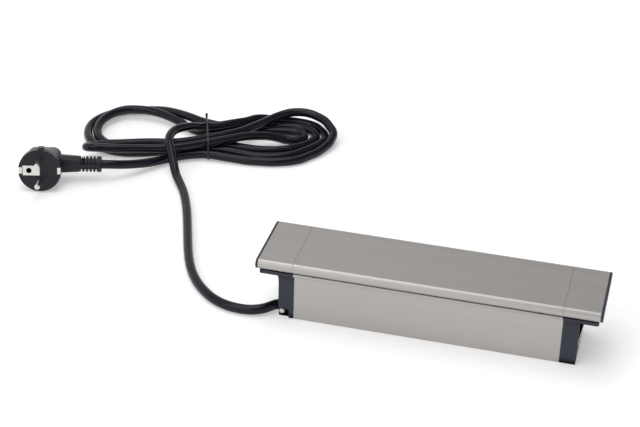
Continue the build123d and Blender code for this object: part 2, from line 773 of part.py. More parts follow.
with BuildPart() as plug_body:
    with BuildSketch(plug_plane(-plug_rim)):
        Circle(plug_radius)
        with Locations((key_shift, plug_radius)):
            Rectangle(key_width, 2 * key_height)
    extrude(amount=plug_rim)
    with BuildSketch(plug_plane(-plug_rim)):
        Circle(plug_radius - plug_edge)
    with BuildSketch(plug_plane(-plug_depth)):
        with Locations((plug_edge, 0)):
            RectangleRounded(plug_back_width, plug_back_height, plug_back_corner)
    loft()
    with BuildSketch(neck_plane(neck_start)):
        RectangleRounded(neck_thickness, neck_height, neck_corner)
    with BuildSketch(neck_plane(boot_start)):
        RectangleRounded(2 * boot_radius, 2 * boot_radius, boot_radius - plug_edge)
    loft()
    with BuildSketch(plug_plane(-pin_seat)):
        with Locations((0, pin_spacing / 2), (0, -pin_spacing / 2)):
            Circle(pin_root_radius)
    extrude(amount=pin_seat, mode=Mode.SUBTRACT)
    with BuildSketch(plug_plane(-earth_hole_depth)):
        with Locations((earth_hole_x, 0)):
            Circle(earth_hole_radius)
    extrude(amount=earth_hole_depth, mode=Mode.SUBTRACT)
    with BuildSketch(plug_plane(0)):
        with Locations((-earth_plate_length / 2, 0)):
            Rectangle(earth_plate_length, earth_plate_height)
    extrude(amount=-strip_thickness, mode=Mode.SUBTRACT)
    for side in (-1, 1):
        with BuildSketch(plug_plane(0)):
            with Locations((side * plug_radius, 0)):
                Rectangle(2 * side_contact_width, side_contact_height)
        extrude(amount=-strip_thickness, mode=Mode.SUBTRACT)
        with BuildSketch(plug_plane(0)):
            with Locations((side * plug_radius, 0)):
                Rectangle(2 * side_contact_sink + 2 * strip_thickness, side_contact_height)
        extrude(amount=-side_contact_depth, mode=Mode.SUBTRACT)
plug_body.part.label = "plug_body"
export_step(plug_body.part, "parts/plug_body.step")

with BuildPart() as plug_pins:
    with BuildSketch(plug_plane(-pin_seat)):
        with Locations((0, pin_spacing / 2), (0, -pin_spacing / 2)):
            Circle(pin_root_radius)
    extrude(amount=pin_seat)
    with BuildSketch(plug_plane(0)):
        with Locations((0, pin_spacing / 2), (0, -pin_spacing / 2)):
            Circle(pin_radius)
    extrude(amount=pin_length)
    fillet(plug_pins.faces().sort_by(Axis((0, 0, 0), out_of_plug))[-2:].edges(), pin_tip)
plug_pins.part.label = "plug_pins"
export_step(plug_pins.part, "parts/plug_pins.step")

# Earth contacts: the plate with the hole, and a bent strip in each side notch
side_contact_end = plug_radius - side_contact_sink
with BuildPart() as plug_earth_contacts:
    with BuildSketch(plug_plane(-strip_thickness)):
        with Locations((-earth_plate_length / 2, 0)):
            Rectangle(earth_plate_length, earth_plate_height)
        with Locations((earth_hole_x, 0)):
            Circle(earth_hole_radius, mode=Mode.SUBTRACT)
    extrude(amount=strip_thickness)
    for side in (-1, 1):
        with BuildSketch(plug_plane(-strip_thickness)):
            with Locations((side * (side_contact_end + plug_radius - side_contact_width) / 2, 0)):
                Rectangle(side_contact_width - side_contact_sink, side_contact_height)
        extrude(amount=strip_thickness)
        with BuildSketch(plug_plane(-side_contact_depth)):
            with Locations((side * (side_contact_end - strip_thickness / 2), 0)):
                Rectangle(strip_thickness, side_contact_height)
        extrude(amount=side_contact_depth)
plug_earth_contacts.part.label = "plug_earth_contacts"
export_step(plug_earth_contacts.part, "parts/plug_earth_contacts.step")

# Grooved boot that keeps the lead from kinking at the plug
with BuildPart() as plug_boot:
    with BuildSketch(neck_plane(boot_start)):
        Circle(boot_radius)
    extrude(amount=boot_end - boot_start)
    for i in range(groove_count):
        with BuildSketch(neck_plane(boot_start + groove_width + i * groove_pitch)):
            Circle(boot_radius + plug_edge)
            Circle(boot_radius - groove_depth, mode=Mode.SUBTRACT)
            Rectangle(2 * boot_radius + 2 * plug_edge, groove_spine, mode=Mode.SUBTRACT)
        extrude(amount=groove_width, mode=Mode.SUBTRACT)
plug_boot.part.label = "plug_boot"
export_step(plug_boot.part, "parts/plug_boot.step")

# Free length of the lead, from the gland along the floor to the hank
floor_height = cord_radius + floor_clearance
lead_route = [
    (-body_end - gland_rim_height, cord_exit_y, cord_exit_z),
    (-127.7, cord_exit_y, cord_exit_z),
    (-134.2, -23.3, 6.1),
    (-141.2, -28.2, 5.5),
    (-149.7, -30.2, 5.0),
    (-159.3, -29.9, 4.6),
    (-169.0, -26.9, 4.3),
    (-179.0, -20.6, floor_height),
    (-189.0, -11.0, floor_height),
    (-199.3, 2.2, floor_height),
    (-209.5, 20.4, floor_height),
    (-219.1, 44.4, floor_height),
    (-229.7, 76.0, floor_height),
    (-242.5, 111.9, floor_height),
    (-256.0, 141.8, floor_height),
    (-269.0, 165.0, floor_height),
]


def bend_radii(route):
    """The largest radius that each corner's two runs leave room for."""
    points = [Vector(point) for point in route]
    runs = [b - a for a, b in zip(points, points[1:])]
    return [
        0.45 * min(a.length, b.length) / math.tan(math.radians(a.get_angle(b)) / 2)
        for a, b in zip(runs, runs[1:])
    ]


with BuildPart() as cord_lead:
    with BuildLine() as lead_path:
        FilletPolyline(*lead_route, radius=bend_radii(lead_route))
    with BuildSketch(Plane(origin=lead_route[0], z_dir=(-1, 0, 0))):
        Circle(cord_radius)
    sweep(path=lead_path.line)
cord_lead.part.label = "cord_lead"
export_step(cord_lead.part, "parts/cord_lead.step")
lead_length = sum(edge.length for edge in lead_path.edges())
print("lead radii", [round(radius, 1) for radius in bend_radii(lead_route)])
print("lead volume by length", round(cord_lead.part.volume / (math.pi * cord_radius**2 * lead_length), 4))

# The hank's strands at its waist: how far across the hank, and how high
waist = {
    "to_plug": (-25.0, lower_layer),
    "b_to_left": (-14.0, lower_layer),
    "c_to_left": (-4.0, lower_layer),
    "to_d": (17.0, lower_layer),
    "d_to_left": (-19.0, upper_layer + 0.7),
    "to_a": (3.0, upper_layer + 0.6),
    "to_b": (14.0, upper_layer + 1.3),
    "to_c": (27.0, upper_layer + 0.6),
}
over_strand = (12.1, upper_layer + 3.2)
hank_axis = Plane(origin=hank_middle, x_dir=Vector(1, 0, 0).rotate(Axis.Z, hank_turn), z_dir=(0, 0, 1))
knots = []


def add_knot(along, across, height, heading, slope=0.0):
    """Add a place that the cord passes, and the way it runs there."""
    turned = math.radians(heading)
    direction = Vector(math.cos(turned), math.sin(turned), slope).normalized()
    place = hank_axis.from_local_coords(Vector(along, across, height))
    ahead = hank_axis.from_local_coords(Vector(along, across, height) + direction)
    knots.append((place, ahead - place))


def cross_waist(strand, heading):
    """Run straight through the tie in this strand's place."""
    across, height = waist[strand]
    step = waist_half if heading == 0 else -waist_half
    add_knot(-step, across, height, heading)
    add_knot(step, across, height, heading)


def turn_right(number, far_height, tip_height, far_slope=0.0, tip_slope=0.0, far_shift=0.0):
    """Go round the right end, from the far side over the tip to the near side."""
    along, across = right_centre
    radius = right_inner_radius + number * loop_step
    add_knot(along + far_shift, across + radius, far_height, 0, far_slope)
    add_knot(along + radius, across, tip_height, -90, tip_slope)
    add_knot(along, across - radius, floor_height, 180)


def turn_left(number, far_shift, far_widening, tip_height, far_height, tip_slope=0.0):
    """Go round the left end, from the near side over the tip to the wider far side."""
    along, across = left_centre
    radius = left_inner_radius + number * loop_step
    add_knot(along, across - radius, floor_height, 180)
    add_knot(along - radius, across, tip_height, 90, tip_slope)
    add_knot(along + far_shift, across + radius + far_widening, far_height, 0)


# The lead climbs from the floor and hooks over the front strands into the waist
lead_end = Vector(*lead_route[-1])
lead_way = (lead_end - Vector(*lead_route[-2])).normalized()
knots.append((lead_end, lead_way))
add_knot(-29.5, -50.0, 13.2, 107, 0.75)
add_knot(-33.5, -31.0, floor_height + 2 * crossing_rise, 93)
add_knot(-27.3, -11.0, floor_height + 2 * crossing_rise + 1.0, 52)
add_knot(-13.0, 5.8, floor_height + 2 * crossing_rise + 0.4, 38, -0.35)
add_knot(waist_half, *waist["to_b"], 8)

# Loop B, crossing over loop C before it lies down
add_knot(56.0, 30.5, floor_height + crossing_rise + 0.5, 18)
turn_right(2, floor_height + 1.5, floor_height, far_slope=-0.05)
cross_waist("b_to_left", 180)
turn_left(1, 9.0, 3.3, floor_height, floor_height)
add_knot(-31.0, 49.3, 7.2, -44, 0.2)

# Loop C, whose left end leans on the outer loop
cross_waist("to_c", 0)
add_knot(32.0, 28.0, floor_height + 0.3, 0)
turn_right(1, floor_height, floor_height)
cross_waist("c_to_left", 180)
turn_left(0, 0, 2.5, floor_height + 1.8, floor_height + 5.5, tip_slope=0.1)
add_knot(-38.5, 42.0, 8.2, -34, -0.05)

# Loop D, whose end climbs over the near strands and folds back at the left
cross_waist("to_d", 0)
turn_right(0, floor_height, floor_height)
add_knot(58.0, -3.3, floor_height + 1, 178, 0.15)
add_knot(38.0, -2.5, floor_height + crossing_rise + 0.6, 188, 0.1)
cross_waist("d_to_left", 180)
add_knot(-42.0, -30.0, floor_height + crossing_rise + 0.3, 183)
add_knot(-100.0, -38.0, 17.0, 180)
add_knot(-108.8, -30.3, 13.2, 90, -0.42)
add_knot(-100.0, -22.2, 10.4, 0, 0.22)
add_knot(-45.0, -20.3, floor_height + crossing_rise + 0.9, 0)

# Loop A, the largest, crosses over all the others and ends towards the plug
cross_waist("to_a", 0)
add_knot(50.0, 23.0, floor_height + 2 * crossing_rise + 0.6, 27, 0.04)
turn_right(3, 17.0, 9.0, far_slope=-0.12, tip_slope=-0.12, far_shift=8.0)
cross_waist("to_plug", 180)
add_knot(-27.0, -31.5, 5.3, 216)


def join_place(start, start_way, end, end_way):
    """Where two arcs meet that leave the start and reach the end the right way."""
    gap = end - start
    ways = start_way + end_way
    square = 2 * (1 - start_way.dot(end_way))
    linear = 2 * gap.dot(ways)
    if square < 1e-9:
        reach = gap.dot(gap) / linear
    else:
        reach = (math.sqrt(linear**2 + 4 * square * gap.dot(gap)) - linear) / (2 * square)
    return (start + end + (start_way - end_way) * reach) * 0.5


def draw_arc(start, way, end):
    """Draw the arc from start to end that leaves this way, or a line if it has no turn."""
    if way.get_angle(end - start) < 0.01:
        return Line(start, end)
    return TangentArc(start, end, tangent=way)


with BuildPart() as cord_hank:
    with BuildLine() as hank_path:
        for (start, start_way), (end, end_way) in zip(knots, knots[1:]):
            middle = join_place(start, start_way, end, end_way)
            first_arc = draw_arc(start, start_way, middle)
            draw_arc(middle, first_arc % 1, end)
    with BuildSketch(Plane(origin=knots[0][0], z_dir=knots[0][1])):
        Circle(cord_radius)
    sweep(path=hank_path.line)
cord_hank.part.label = "cord_hank"
export_step(cord_hank.part, "parts/cord_hank.step")


def gap_to_itself(edges, spacing=2.0, clear_length=20.0):
    """The least gap between stretches of the cord that are apart along its length."""
    places = []
    travelled = 0.0
    for edge in edges:
        count = max(1, round(edge.length / spacing))
        for i in range(count):
            places.append((travelled + edge.length * i / count, tuple(edge @ (i / count))))
        travelled += edge.length
    return min(
        math.dist(place, other)
        for i, (along, place) in enumerate(places)
        for further, other in places[i + 1 :]
        if further - along > clear_length
    ) - 2 * cord_radius


hank_edges = hank_path.edges()
hank_length = sum(edge.length for edge in hank_edges)
hank_gap = gap_to_itself(hank_edges)
print("hank length", round(hank_length), "least gap", round(hank_gap, 2), "wanted over", least_gap)
print("hank least radius", round(min(edge.radius for edge in hank_edges if edge.geom_type == GeomType.CIRCLE), 1))
print("hank volume by length", round(cord_hank.part.volume / (math.pi * cord_radius**2 * hank_length), 4))

# Wire tie drawn round the waist, a little askew, its ends twisted together at the back
tie_plane = Plane(
    origin=hank_axis.from_local_coords((tie_shift, 0, 0)),
    x_dir=hank_axis.y_dir.rotate(Axis.Z, tie_turn),
    z_dir=hank_axis.x_dir.rotate(Axis.Z, tie_turn),
)
tie_bore = cord_radius + tie_gap
tied_strands = [strand for name, strand in waist.items() if name != "to_b"] + [over_strand]
rear_strand = waist["to_c"]
twist_foot = tie_plane.from_local_coords((rear_strand[0], rear_strand[1] + tie_bore + tie_thickness / 2, 0))
with BuildPart() as hank_tie:
    with BuildSketch(tie_plane):
        with Locations(*tied_strands):
            Circle(tie_bore + tie_thickness)
        make_hull()
    extrude(amount=tie_width / 2, both=True)
    with BuildSketch(tie_plane):
        with Locations(*tied_strands):
            Circle(tie_bore)
        make_hull()
    extrude(amount=tie_width / 2, both=True, mode=Mode.SUBTRACT)
    with BuildSketch(Plane(origin=twist_foot)):
        Circle(tie_twist_radius)
    extrude(amount=tie_twist_length)
hank_tie.part.label = "hank_tie"
export_step(hank_tie.part, "parts/hank_tie.step")

# The lead's last stretch, from the hank up to the plug's boot
boot_face = neck_plane(boot_end)
tail_route = [
    tuple(boot_face.origin),
    tuple(boot_face.origin + along_plug * 8.4),
    (-318.2, 154.6, 13.4),
    (-309.6, 164.4, 10.2),
    (-300.2, 175.4, 7.3),
    tuple(knots[-1][0] + knots[-1][1] * 10),
    tuple(knots[-1][0]),
]
with BuildPart() as cord_tail:
    with BuildLine() as tail_path:
        FilletPolyline(*tail_route, radius=bend_radii(tail_route))
    with BuildSketch(boot_face):
        Circle(cord_radius)
    sweep(path=tail_path.line)
cord_tail.part.label = "cord_tail"
export_step(cord_tail.part, "parts/cord_tail.step")
print("tail radii", [round(radius, 1) for radius in bend_radii(tail_route)])
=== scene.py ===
"""Looks of the desk socket block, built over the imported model.

Lengths are in metres, apart from the lead's route, which is in millimetres.
"""

import json
import math

import bpy
from mathutils import Matrix, Vector


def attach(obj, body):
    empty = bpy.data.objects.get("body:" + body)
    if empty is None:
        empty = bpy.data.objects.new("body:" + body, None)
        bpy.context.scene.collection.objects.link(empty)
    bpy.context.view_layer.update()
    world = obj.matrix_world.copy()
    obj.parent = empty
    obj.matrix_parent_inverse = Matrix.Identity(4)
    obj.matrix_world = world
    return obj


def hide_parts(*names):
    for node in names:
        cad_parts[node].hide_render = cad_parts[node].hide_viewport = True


MM = 0.001

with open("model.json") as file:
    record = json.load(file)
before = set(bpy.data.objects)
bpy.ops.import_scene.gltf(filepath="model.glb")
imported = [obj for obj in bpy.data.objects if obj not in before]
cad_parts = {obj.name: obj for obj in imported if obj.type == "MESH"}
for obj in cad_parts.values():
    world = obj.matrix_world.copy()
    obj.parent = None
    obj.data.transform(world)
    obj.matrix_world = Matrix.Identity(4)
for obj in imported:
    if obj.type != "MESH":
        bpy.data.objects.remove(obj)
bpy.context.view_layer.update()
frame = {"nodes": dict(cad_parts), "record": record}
nodes = frame["nodes"]

# Camera
FOCAL_PIXELS = 1742.98
IMAGE_WIDTH = 640
SENSOR_WIDTH = 36.0
CAMERA_PLACE = (0.1821, -1.1608, 0.7795)
CAMERA_FORWARD = (-0.2001, 0.8411, -0.5025)
CAMERA_UP = (-0.1469, 0.4813, 0.8642)
camera_data = bpy.data.cameras.new("camera")
camera_data.sensor_width = SENSOR_WIDTH
camera_data.lens = SENSOR_WIDTH * FOCAL_PIXELS / IMAGE_WIDTH
camera_data.clip_start = 0.05
camera_data.clip_end = 50.0
camera = bpy.data.objects.new("camera", camera_data)
bpy.context.scene.collection.objects.link(camera)
view_forward = Vector(CAMERA_FORWARD).normalized()
view_right = view_forward.cross(Vector(CAMERA_UP)).normalized()
view_up = view_right.cross(view_forward)
turn = Matrix((view_right, view_up, -view_forward)).transposed().to_4x4()
camera.matrix_world = Matrix.Translation(CAMERA_PLACE) @ turn
bpy.context.scene.camera = camera

# Route of the lead
CORD_RADIUS = 4.1
FLOOR_CLEARANCE = 0.05
FLOOR = CORD_RADIUS + FLOOR_CLEARANCE
HANK_MIDDLE = Vector((-263.0, 234.0, 0.0))
HANK_TURN = math.radians(14.3)

# From the gland along the floor to the hank
lead_route = [
    (-120.8, -17.2, 6.5),
    (-123.4, -18.1, 6.5),
    (-127.3, -22.2, 6.2),
    (-131.5, -25.9, 5.6),
    (-137.0, -28.4, 4.9),
    (-144.0, -30.0, 4.4),
    (-152.0, -30.05, 4.2),
    (-160.5, -29.0, 4.2),
    (-169.5, -25.8, 4.2),
    (-179.0, -19.9, FLOOR),
    (-189.0, -10.6, FLOOR),
    (-199.3, 2.2, FLOOR),
    (-209.5, 20.4, FLOOR),
    (-219.1, 44.4, FLOOR),
    (-229.7, 76.0, FLOOR),
    (-241.6, 110.5, FLOOR),
    (-251.8, 134.6, FLOOR),
    (-258.2, 146.4, FLOOR),
]

places = []


def on_hank(along, across, height):
    """A place in the hank, from sizes along and across it."""
    return HANK_MIDDLE + Matrix.Rotation(HANK_TURN, 3, "Z") @ Vector((along, across, height))


def add_places(*rows):
    """Add places that the lead passes: along and across the hank, height, heading, slope."""
    for along, across, height, heading, slope in rows:
        turned = math.radians(heading) + HANK_TURN
        way = Vector((math.cos(turned), math.sin(turned), slope)).normalized()
        places.append((on_hank(along, across, height), way))


# Up over the front strands, round the hook and down into the tie
add_places(
    (-22.2, -71.5, 4.4, 99, 0.1),
    (-25.4, -58.5, 8.2, 103, 0.45),
    (-29.2, -44.0, 15.8, 103, 0.5),
    (-32.2, -30.0, 22.0, 96, 0.22),
    (-30.2, -16.0, 23.3, 70, 0.0),
    (-21.0, -3.5, 22.2, 43, -0.2),
    (-9.0, 7.5, 17.6, 38, -0.4),
    (1.5, 13.9, 14.6, 20, -0.1),
)

# Loop B, which crosses over loop C before it lies down
add_places(
    (16.0, 18.5, 14.4, 22, 0.0),
    (33.0, 27.0, 13.7, 30, -0.1),
    (50.0, 38.8, 12.0, 30, -0.2),
    (67.0, 45.3, 7.6, 12, -0.12),
    (85.0, 45.3, 5.9, -7, -0.06),
    (102.0, 40.3, 4.7, -33, -0.03),
    (111.0, 28.0, 4.2, -64, 0.0),
    (113.2, 14.5, 4.2, -95, 0.0),
    (107.6, 3.6, 4.2, -120, 0.0),
    (94.8, -10.2, 4.2, -139, 0.0),
    (81.0, -20.6, 4.2, -155, 0.0),
    (65.0, -25.0, 4.2, -177, 0.0),
    (1.5, -14.0, 5.7, 180, 0.0),
    (-71.0, -22.5, FLOOR, 180, 0.0),
    (-113.5, 20.0, FLOOR, 90, 0.0),
    (-67.0, 65.6, FLOOR, 2, 0.0),
    (-55.0, 64.6, 5.0, -14, 0.12),
    (-44.0, 59.8, 7.2, -32, 0.2),
    (-30.0, 49.0, 10.2, -41, 0.15),
    (-11.0, 32.4, 12.5, -38, 0.0),
    (1.5, 24.7, 12.5, -16, -0.08),
)

# Loop C, whose left end leans on the outer loop
add_places(
    (20.0, 28.3, 7.0, 16, -0.3),
    (40.0, 33.6, 4.5, 11, -0.05),
    (68.0, 36.9, 4.2, 3, 0.0),
    (85.0, 36.6, 4.2, -10, 0.0),
    (98.6, 30.2, 4.2, -44, 0.0),
    (104.2, 17.6, 4.2, -88, 0.0),
    (99.8, 7.8, 4.2, -122, 0.0),
    (88.6, -2.6, 4.2, -150, 0.0),
    (75.5, -9.4, 4.2, -168, 0.0),
    (60.0, -11.6, 4.2, 178, 0.0),
    (1.5, -4.0, 5.7, 180, 0.0),
    (-71.0, -13.6, FLOOR, 180, 0.0),
    (-104.6, 20.0, 6.0, 90, 0.1),
    (-71.0, 56.1, 9.7, 0, 0.0),
    (-38.5, 44.4, 8.8, -36, -0.05),
    (1.5, 17.2, 5.7, -8, 0.0),
)

# Loop D, short and narrow at the right, folded back at the left
add_places(
    (40.0, 24.0, 4.4, 11, 0.0),
    (68.0, 27.6, 4.2, 3, 0.0),
    (77.6, 27.4, 4.2, -2, 0.0),
    (84.2, 26.8, 4.2, -9, 0.0),
    (93.0, 17.8, 4.2, -90, 0.0),
    (84.2, 8.8, 4.3, -172, 0.03),
    (77.1, 8.4, 5.0, 180, 0.12),
    (64.0, 6.6, 9.0, 190, 0.25),
    (43.0, -0.6, 13.3, 198, 0.1),
    (25.0, -8.6, 14.2, 205, 0.0),
    (1.5, -18.8, 14.2, 202, 0.0),
    (-14.0, -24.6, 14.1, 198, 0.0),
    (-42.0, -30.3, 13.6, 186, 0.0),
    (-92.0, -37.6, 16.6, 182, 0.05),
    (-100.0, -38.0, 17.0, 178, 0.0),
    (-109.2, -30.1, 13.4, 90, -0.42),
    (-100.0, -22.2, 10.8, 2, 0.14),
    (-88.0, -21.7, 12.6, 0, 0.05),
    (-45.0, -19.9, 14.1, 2, 0.0),
)

# Loop A, the largest, which crosses over all the others and ends towards the plug
add_places(
    (-28.8, -19.6, 14.2, 10, 0.0),
    (-14.0, -15.7, 14.2, 20, 0.0),
    (2.0, -9.3, 14.2, 23, 0.0),
    (21.0, -0.4, 14.2, 28, 0.0),
    (34.0, 7.6, 14.2, 36, 0.0),
    (49.0, 21.1, 14.3, 44, 0.0),
    (63.0, 34.2, 15.0, 40, 0.07),
    (76.0, 42.5, 16.2, 24, 0.08),
    (89.5, 44.5, 16.8, -4, 0.0),
    (103.0, 40.1, 16.0, -32, -0.12),
    (115.2, 29.0, 13.2, -60, -0.25),
    (120.8, 15.5, 9.2, -88, -0.25),
    (118.2, 5.0, 6.9, -108, -0.2),
    (112.6, -4.6, 5.1, -126, -0.1),
    (101.4, -17.6, 4.2, -139, 0.0),
    (86.0, -29.9, 4.2, -156, 0.0),
    (69.2, -34.2, 4.2, -173, 0.0),
    (43.7, -33.4, 4.2, 175, 0.0),
    (26.7, -30.0, 4.7, 170, 0.05),
    (1.5, -25.0, 5.7, 174, 0.0),
    (-10.0, -26.0, 5.6, 190, 0.0),
    (-27.0, -31.5, 5.3, 208, 0.0),
)


# Two headings that differ by less than this count as the same
ALIKE = 1e-6


def corners_between(start, start_way, end, end_way):
    """The two corners at which the lead turns on its way from one place to the next."""
    gap = end - start
    square = 2 * (1 - start_way.dot(end_way))
    linear = 2 * gap.dot(start_way + end_way)
    if square < ALIKE:
        reach = gap.dot(gap) / linear
    else:
        reach = (math.sqrt(linear**2 + 4 * square * gap.dot(gap)) - linear) / (2 * square)
    return [start + start_way * reach, end - end_way * reach]


# From the plug's boot down to the hank
PLUG_FACE = Vector((-380.0, 110.5, 20.2))
PLUG_YAW = math.radians(14.7)
PLUG_TILT = math.radians(11.1)
NECK_DEPTH = 23.3
BOOT_END = 52.9
STRAIGHT_AT_BOOT = 8.4
REACH_PAST_HANK = 10.0
plug_turn = Matrix.Rotation(PLUG_YAW, 3, "Z") @ Matrix.Rotation(-PLUG_TILT, 3, "X")
along_plug = plug_turn @ Vector((1, 0, 0))
out_of_plug = plug_turn @ Vector((0, -1, 0))
boot_end = PLUG_FACE + along_plug * BOOT_END - out_of_plug * NECK_DEPTH
last_place, last_way = places[-1]
tail_route = [
    boot_end,
    boot_end + along_plug * STRAIGHT_AT_BOOT,
    Vector((-318.2, 154.6, 13.4)),
    Vector((-309.6, 164.4, 10.2)),
    Vector((-300.2, 175.4, 7.3)),
    last_place + last_way * REACH_PAST_HANK,
]

route = [Vector(point) for point in lead_route]
for (start, start_way), (end, end_way) in zip(places, places[1:]):
    route += corners_between(start, start_way, end, end_way)
route += reversed(tail_route)

lead_curve = bpy.data.curves.new("mains_lead", "CURVE")
lead_curve.dimensions = "3D"
lead_curve.bevel_depth = CORD_RADIUS * MM
lead_curve.bevel_resolution = 8
lead_curve.resolution_u = 10
lead_curve.use_fill_caps = True
spline = lead_curve.splines.new("NURBS")
spline.points.add(len(route) - 1)
for spline_point, place in zip(spline.points, route):
    spline_point.co = (*(place * MM), 1.0)
spline.order_u = 3
spline.use_endpoint_u = True
mains_lead = bpy.data.objects.new("mains_lead", lead_curve)
bpy.context.scene.collection.objects.link(mains_lead)


def line_of(curve_object):
    """The points of a curve's own line, in metres."""
    bare = curve_object.copy()
    bare.data = curve_object.data.copy()
    bare.data.bevel_depth = 0
    bpy.context.scene.collection.objects.link(bare)
    bpy.context.view_layer.update()
    mesh = bpy.data.meshes.new_from_object(bare.evaluated_get(bpy.context.evaluated_depsgraph_get()))
    points = [v.co.copy() for v in mesh.vertices]
    data = bare.data
    bpy.data.objects.remove(bare)
    bpy.data.curves.remove(data)
    bpy.data.meshes.remove(mesh)
    return points


lead_line = line_of(mains_lead)

# Materials
UNSTRETCHED = (1.0, 1.0, 1.0)
FINE_BRUSHING = (4.0, 1400.0, 1400.0)
BROAD_BRUSHING = (1.5, 90.0, 90.0)
BRUSHING_RELIEF = 0.12
METAL_GRAIN = 900.0
METAL_RELIEF = 0.1
METAL_DEPTH = 0.00005
PLASTIC_BLOTCHES = 60.0
PLASTIC_DEPTH = 0.0001
SHARP_EDGE = 0.0002
SOFT_EDGE = 0.0003
FLANGE_EDGE = 0.0012
NOISE_LOW = 0.3
NOISE_HIGH = 0.7
# Ambient occlusion range over which the painted shade of recesses goes from darkest to none
SHADE_DARK = 0.55
SHADE_LIGHT = 0.95


def new_material(name):
    made = bpy.data.materials.new(name)
    made.use_nodes = True
    tree = made.node_tree
    return made, tree, tree.nodes["Principled BSDF"]


def add_node(tree, kind, **settings):
    node = tree.nodes.new(kind)
    for key, value in settings.items():
        setattr(node, key, value)
    return node


def stretched_noise(tree, stretch, scale, detail, roughness):
    """Noise in the object's own space, drawn out along an axis."""
    place = add_node(tree, "ShaderNodeTexCoord")
    mapping = add_node(tree, "ShaderNodeMapping")
    mapping.inputs["Scale"].default_value = stretch
    noise = add_node(tree, "ShaderNodeTexNoise")
    noise.inputs["Scale"].default_value = scale
    noise.inputs["Detail"].default_value = detail
    noise.inputs["Roughness"].default_value = roughness
    tree.links.new(place.outputs["Object"], mapping.inputs["Vector"])
    tree.links.new(mapping.outputs["Vector"], noise.inputs["Vector"])
    return noise


def ramp(tree, source, low, high):
    """Turn a noise into a band of greys or colours."""
    made = add_node(tree, "ShaderNodeValToRGB")
    made.color_ramp.elements[0].position = NOISE_LOW
    made.color_ramp.elements[1].position = NOISE_HIGH
    made.color_ramp.elements[0].color = low
    made.color_ramp.elements[1].color = high
    tree.links.new(source, made.inputs["Fac"])
    return made


def grey(value):
    return (value, value, value, 1.0)


def edge_and_bump(tree, shader, height, strength, distance, edge=SOFT_EDGE):
    """Rounded edges and a fine relief."""
    bevel = add_node(tree, "ShaderNodeBevel", samples=4)
    bevel.inputs["Radius"].default_value = edge
    bump = add_node(tree, "ShaderNodeBump")
    bump.inputs["Strength"].default_value = strength
    bump.inputs["Distance"].default_value = distance
    tree.links.new(height, bump.inputs["Height"])
    tree.links.new(bevel.outputs["Normal"], bump.inputs["Normal"])
    tree.links.new(bump.outputs["Normal"], shader.inputs["Normal"])


def toned(colour, share):
    """A colour made darker or lighter by a share."""
    return (*(min(1.0, c * share) for c in colour), 1.0)


def brushed_metal(name, colour, roughness, spread, edge=SOFT_EDGE):
    """Metal brushed along the X axis."""
    made, tree, shader = new_material(name)
    shader.inputs["Metallic"].default_value = 1.0
    fine = stretched_noise(tree, FINE_BRUSHING, 1.0, 6.0, 0.7)
    broad = stretched_noise(tree, BROAD_BRUSHING, 1.0, 3.0, 0.5)
    fine_tone = ramp(tree, fine.outputs["Fac"], toned(colour, 1 - spread), toned(colour, 1 + spread))
    broad_tone = ramp(tree, broad.outputs["Fac"], grey(0.96), grey(1.0))
    mix = add_node(tree, "ShaderNodeMixRGB", blend_type="MULTIPLY")
    mix.inputs["Fac"].default_value = 1.0
    tree.links.new(fine_tone.outputs["Color"], mix.inputs["Color1"])
    tree.links.new(broad_tone.outputs["Color"], mix.inputs["Color2"])
    tree.links.new(mix.outputs["Color"], shader.inputs["Base Color"])
    rough = ramp(tree, fine.outputs["Fac"], grey(roughness * 0.85), grey(roughness * 1.15))
    tree.links.new(rough.outputs["Color"], shader.inputs["Roughness"])
    edge_and_bump(tree, shader, fine.outputs["Fac"], BRUSHING_RELIEF, METAL_DEPTH, edge)
    return made


def moulded_plastic(name, colour, roughness, grain=1500.0, relief=0.15, gloss=0.5, painted_shade_reach=0.0):
    """Plastic with painted shade: recesses and gaps, as wide as the given size, are painted darker in
    colour and gloss.
    """
    made, tree, shader = new_material(name)
    fine = stretched_noise(tree, UNSTRETCHED, grain, 3.0, 0.5)
    broad = stretched_noise(tree, UNSTRETCHED, PLASTIC_BLOTCHES, 3.0, 0.5)
    tone = ramp(tree, broad.outputs["Fac"], toned(colour, 0.88), toned(colour, 1.12))
    rough = ramp(tree, fine.outputs["Fac"], grey(roughness * 0.9), grey(roughness * 1.1))
    tree.links.new(rough.outputs["Color"], shader.inputs["Roughness"])
    # Painted shade: where ambient occlusion finds nearby surfaces, the colour and the gloss are
    # darkened
    if painted_shade_reach > 0:
        open_sky = add_node(tree, "ShaderNodeAmbientOcclusion")
        open_sky.inputs["Distance"].default_value = painted_shade_reach
        shade = add_node(tree, "ShaderNodeMapRange")
        shade.inputs["From Min"].default_value = SHADE_DARK
        shade.inputs["From Max"].default_value = SHADE_LIGHT
        painted_shade_gloss = add_node(tree, "ShaderNodeMath", operation="MULTIPLY")
        painted_shade_gloss.inputs[1].default_value = gloss
        painted_shade_colour = add_node(tree, "ShaderNodeMixRGB", blend_type="MULTIPLY")
        painted_shade_colour.inputs["Fac"].default_value = 1.0
        tree.links.new(open_sky.outputs["AO"], shade.inputs["Value"])
        tree.links.new(shade.outputs["Result"], painted_shade_gloss.inputs[0])
        tree.links.new(painted_shade_gloss.outputs["Value"], shader.inputs["Specular IOR Level"])
        tree.links.new(tone.outputs["Color"], painted_shade_colour.inputs["Color1"])
        tree.links.new(shade.outputs["Result"], painted_shade_colour.inputs["Color2"])
        tree.links.new(painted_shade_colour.outputs["Color"], shader.inputs["Base Color"])
    else:
        shader.inputs["Specular IOR Level"].default_value = gloss
        tree.links.new(tone.outputs["Color"], shader.inputs["Base Color"])
    edge_and_bump(tree, shader, fine.outputs["Fac"], relief, PLASTIC_DEPTH)
    return made


